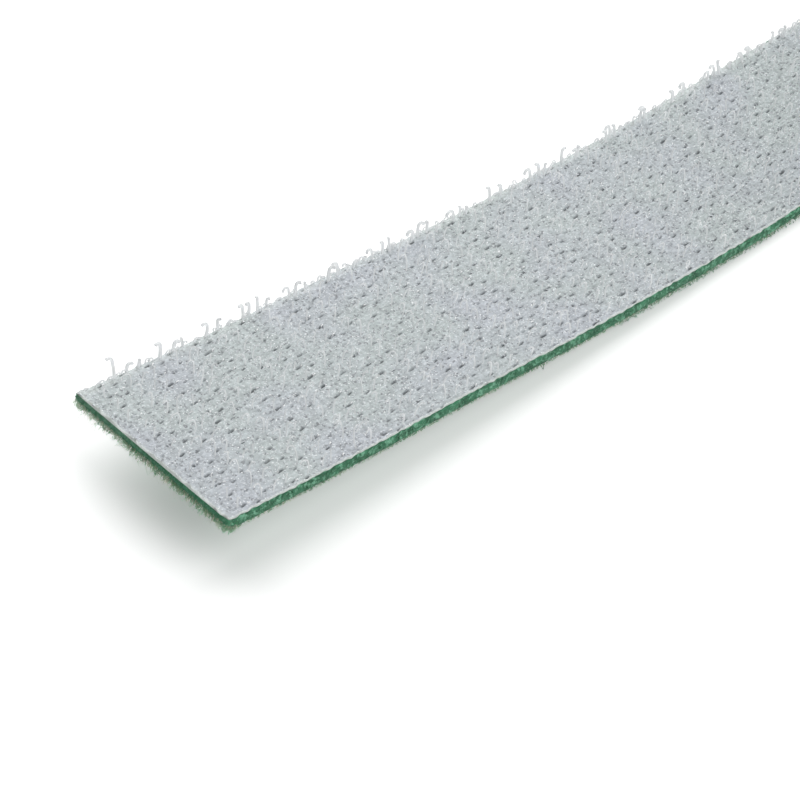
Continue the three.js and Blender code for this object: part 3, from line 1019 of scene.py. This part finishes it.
def core_tube(material):
    """The wound kraft tube, with the plies on its ends and the spiral seam in its bore."""
    bore = CORE_RADIUS - CORE_WALL
    quarter = np.linspace(0, math.pi / 2, 5)
    rise = CORE_EASE * np.sin(quarter)
    ease = CORE_EASE * (1 - np.cos(quarter))
    half = HALF_WIDTH
    flat = half - CORE_EASE
    inner = np.linspace(-flat, flat, 41)[1:-1]
    outer = np.linspace(flat, -flat, 11)[1:-1]
    plies = np.linspace(bore + CORE_EASE, CORE_RADIUS - CORE_EASE, 23)[1:-1]
    radius = np.concatenate([
        bore + 0 * inner, bore + ease, plies, CORE_RADIUS - ease[::-1],
        CORE_RADIUS + 0 * outer, CORE_RADIUS - ease, plies[::-1], bore + ease[::-1],
    ])
    height = np.concatenate([
        inner, flat + rise, half + 0 * plies, flat + rise[::-1],
        outer, -flat - rise, -half + 0 * plies, -flat - rise[::-1],
    ])
    angle = np.linspace(0, 2 * math.pi, CORE_STEPS + 1)[:, None]
    turn = (height[None, :] / SEAM_PITCH + angle / (2 * math.pi) + 0.3) % 1.0
    in_bore = (radius < bore + 0.01 * MM)[None, :]
    seam = np.exp(-((np.abs(turn - 0.5) * SEAM_PITCH / (0.5 * MM)) ** 2)) * in_bore
    on_end = (np.abs(height) > half - 0.01 * MM)[None, :]
    ply = np.abs(np.sin(math.pi * (radius - bore) / PLY_THICKNESS))[None, :] ** 6 * on_end + 0 * angle
    r = radius[None, :] + SEAM_DEPTH * seam
    y = height[None, :] - np.sign(height)[None, :] * PLY_DEPTH * ply
    points = np.stack([ROLL_X + r * np.cos(angle), y + 0 * r, ROLL_Z + r * np.sin(angle)], -1)[:-1]
    rows, columns, _ = points.shape
    quads = grid_faces(rows + 1, columns, closed=True) % (rows * columns)
    marks = np.stack([0.45 * ply, 0.8 * seam, 0 * seam], -1)[:-1]
    add_piece("core", points, [quads], [material], ["core_tube"],
              attributes={"plies": marks})


# The camera, the light and the floor

# Azimuths run in degrees from +X, along the tape, to +Y
CAMERA_AZIMUTH = -132.49
CAMERA_ELEVATION = 43.182
CAMERA_DISTANCE = 225 * MM
CAMERA_FOCAL_PIXELS = 2595.8
FRAME_PIXELS = 800
SENSOR_WIDTH = 36
LOOK_AT = Vector((CUT_X + 23.9 * MM, -3.98 * MM, 1.6 * MM))

# The softboxes: azimuth, elevation, width and power
LAMP_TARGET = Vector((CUT_X + 40 * MM, 0, 0))
LAMP_DISTANCE = 0.6
WIDE_SOFTBOX = (51, 56, 1.12, 5.9)
FRONT_SOFTBOX = (-74, 44, 0.41, 1.65)
SKY_STRENGTH = 0.08
WHITE = (1, 1, 1)

# The floor and how much it is lifted to white, near the object and from afar
FLOOR_HALF = 3.0
FLOOR_WHITE = (0.97, 0.97, 0.97)
FLOOR_LIFT = 0.3
FAR_FLOOR_LIFT = 1.0
LIFT_FROM = 0.2
LIFT_TO = 0.6


def aim(name, data, target, azimuth, elevation, distance):
    """Adds a camera or lamp in this direction from its target and turns it there."""
    azimuth = math.radians(azimuth)
    elevation = math.radians(elevation)
    level = math.cos(elevation)
    back = Vector((math.cos(azimuth) * level, math.sin(azimuth) * level, math.sin(elevation)))
    thing = bpy.data.objects.new(name, data)
    thing.location = target + back * distance
    thing.rotation_mode = "QUATERNION"
    thing.rotation_quaternion = (-back).to_track_quat("-Z", "Y")
    bpy.context.scene.collection.objects.link(thing)
    return thing


def add_camera():
    data = bpy.data.cameras.new("camera")
    data.sensor_width = SENSOR_WIDTH
    data.lens = CAMERA_FOCAL_PIXELS / FRAME_PIXELS * SENSOR_WIDTH
    data.clip_start = 0.01
    camera = aim("camera", data, LOOK_AT, CAMERA_AZIMUTH, CAMERA_ELEVATION, CAMERA_DISTANCE)
    bpy.context.scene.camera = camera


def seen_directly(tree):
    """1 for rays from the camera and for those that a shiny or clear surface passes on."""
    path = tree.nodes.new("ShaderNodeLightPath")
    direct = math_node(tree, "MAXIMUM", path.outputs["Is Camera Ray"], path.outputs["Is Glossy Ray"])
    return math_node(tree, "MAXIMUM", direct, path.outputs["Is Transmission Ray"])


def add_softbox(name, azimuth, elevation, size, power):
    data = bpy.data.lights.new(name, "AREA")
    data.shape = "DISK"
    data.size = size
    data.energy = power
    aim(name, data, LAMP_TARGET, azimuth, elevation, LAMP_DISTANCE)


def add_world():
    """A faint white sky, seen as full white."""
    world = bpy.data.worlds.new("studio")
    bpy.context.scene.world = world
    world.use_nodes = True
    tree = world.node_tree
    sky = tree.nodes["Background"]
    set_inputs(tree, sky, {"Color": WHITE, "Strength": SKY_STRENGTH})
    seen = tree.nodes.new("ShaderNodeBackground")
    set_inputs(tree, seen, {"Color": WHITE})
    surface = shader_mix(tree, seen_directly(tree), sky.outputs[0], seen.outputs[0])
    set_inputs(tree, tree.nodes["World Output"], {"Surface": surface})


def add_floor():
    """A white floor that keeps the object's shadow and shows white where it is fully lit."""
    mesh = bpy.data.meshes.new("floor")
    corners = [(x * FLOOR_HALF, y * FLOOR_HALF, 0) for x, y in ((-1, -1), (1, -1), (1, 1), (-1, 1))]
    mesh.from_pydata(corners, [], [(0, 1, 2, 3)])
    material, tree, shader = new_material("floor_white")
    distance = tree.nodes.new("ShaderNodeVectorMath")
    distance.operation = "LENGTH"
    tree.links.new(object_place(tree), distance.inputs[0])
    lift = range_node(tree, distance.outputs["Value"], LIFT_FROM, LIFT_TO, FLOOR_LIFT, FAR_FLOOR_LIFT)
    lift = math_node(tree, "MULTIPLY", lift, seen_directly(tree))
    set_inputs(tree, shader, {"Base Color": FLOOR_WHITE, "Roughness": 1.0, "Specular IOR Level": 0.0})
    set_inputs(tree, shader, {"Emission Color": WHITE, "Emission Strength": lift})
    mesh.materials.append(material)
    floor = bpy.data.objects.new("floor", mesh)
    bpy.context.scene.collection.objects.link(floor)


bpy.context.scene.view_settings.view_transform = "Standard"
add_camera()
add_softbox("wide_softbox", *WIDE_SOFTBOX)
add_softbox("front_softbox", *FRONT_SOFTBOX)
add_world()
add_floor()

yarn_grain = make_yarn_grain()
hook_yarn = hook_yarn_material(yarn_grain)
loop_yarn = loop_yarn_material(yarn_grain)
kraft = kraft_material(yarn_grain)
film = film_material()
hook_strand = strand_material("hook_strand", *HOOK_STRAND)
clear_strand = strand_material("clear_strand", *CLEAR_STRAND)
float_strand = strand_material("float_strand", *FLOAT_STRAND)
hook_root_glint = plain_material("hook_root_glint", *HOOK_ROOT_GLINT)
pile_greens = [plain_material(name, colour, PILE_ROUGHNESS) for name, colour in PILE_GREENS.items()]
cut_greens = [strand_material(name, colour, FRAYED_BODY) for name, colour in CUT_GREENS.items()]

# The hook tape of the free end: its ground, the hooks along the far edge and the clearer ones
for name, start, end, steps, nodes in GROUND_STRETCHES:
    hook_ground(name, start, end, steps, hook_yarn, nodes)
last_hook = FREE_END - 4 * MM
edge_hooks = corner_hooks(steps=14, seed=30)
edge_hooks += hook_rows(EDGE_HOOK_KINDS, CORNER_END, last_hook, [FAR_COLUMN], HOOK_RADIUS, steps=12, seed=31)
edge_hooks += edge_loops(0.5 * MM, last_hook, FAR, steps=8, seed=37)
add_strands("edge_hooks", edge_hooks, HOOK_SIDES, [hook_strand])
columns = range(-FAR_COLUMN, FAR_COLUMN)
inner_hooks = hook_rows(HOOK_KINDS, 0.3 * MM, last_hook, columns, CLEAR_HOOK_RADIUS, steps=10, seed=32)
add_strands("hooks", inner_hooks, HOOK_SIDES, [clear_strand],
            ["hook_rows_1", "hook_rows_2", "hook_rows_3"])
floats_on("float_strands", 0, 100 * MM, per_mm2=2.7, material=float_strand, seed=35)
root_glints("hook_root_glints", 0, 110 * MM, hook_root_glint, seed=39)

# The film and the loop tape of the free end. At the cut the loop tape closes the gap at the film,
# and its lower face is cut away a little.
film_along = np.linspace(0.3 * MM, FREE_END, 151)
web("bonding_film", film_along, FILM_DEPTH, GROUND_DEPTH, FILM_INSET, film,
    "bonding_film_free_end")
free_along = np.arange(0, FREE_END / MM + 0.01, 0.2) * MM
free_along[-1] = FREE_END
free_low = PILE_DEPTH + 0.4 * MM * (1 - smooth_step(free_along, 0, 1.2 * MM))
free_high = np.where(free_along < 0.25 * MM, CUT_LEVEL, FILM_DEPTH)
web("loop_tape", free_along, free_low, free_high, LOOP_INSET, loop_yarn,
    "loop_tape_free_end", side_steps=8, face_steps=14, fluff=0.07 * MM, lip=0.16 * MM, seed=51)
edge_pile("pile_near_edge", 0, FREE_END, NEAR, EDGE_FLUFF, pile_greens, per_mm=34, seed=61)
edge_pile("pile_near_fringe", 0, FREE_END, NEAR, EDGE_FRINGE, cut_greens, per_mm=34, seed=73, steps=5)
edge_pile("pile_near_edge_low", 45 * MM, FREE_END, NEAR, PRESSED_FLUFF, pile_greens, per_mm=16, seed=71)
edge_pile("pile_far_edge", 0, FREE_END, FAR, EDGE_FLUFF, pile_greens, per_mm=34, seed=63)
cut_end_pile("pile_cut_end", cut_greens, count=3200, seed=65)
cut_face_pile("pile_cut_face", pile_greens[1:], count=700, seed=69)
face_pile("pile_under_free_end", 0.5 * MM, 66 * MM, pile_greens, per_mm2=3, seed=67)

# The roll. On its inner turns the pile reaches into the gap in which hooks and loops grip.
wound_along = FREE_END + np.append(np.arange(0, WOUND_LENGTH / MM - 0.7, 1.0) * MM, WOUND_LENGTH)
pile_reach = smooth_step(wound_along, FREE_END + 0.9 * FIRST_TURN, FREE_END + FIRST_TURN + 30 * MM)
wound_low = PILE_DEPTH * (1 - pile_reach) - 0.5 * MM * pile_reach
web("loop_tape_wound", wound_along, wound_low, FILM_DEPTH, LOOP_INSET, loop_yarn,
    "loop_tape_winding", side_steps=7, face_steps=12, fluff=0.12 * MM, seed=51)
web("bonding_film_wound", wound_along, FILM_DEPTH, GROUND_DEPTH, FILM_INSET, film,
    "bonding_film_winding")
web("hook_tape_wound", wound_along, GROUND_DEPTH, FACE_DEPTH, WOUND_HOOK_INSET, hook_yarn,
    "hook_tape_winding", side_steps=5, face_steps=10, fluff=0.05 * MM, seed=55)
half_turn = FREE_END + FIRST_TURN / 2
one_turn = FREE_END + FIRST_TURN
face_pile("pile_roll_right", FREE_END, half_turn, pile_greens, per_mm2=2.6, seed=81, steps=5)
face_pile("pile_roll_left", half_turn, one_turn, pile_greens, per_mm2=2.6, seed=83, steps=5)
for name, side, seed in (("pile_roll_near_edge", NEAR, 85), ("pile_roll_far_edge", FAR, 87)):
    edge_pile(name, FREE_END, TAPE_END, side, EDGE_FLUFF, pile_greens, per_mm=4, seed=seed, steps=5)
core_tube(kraft)
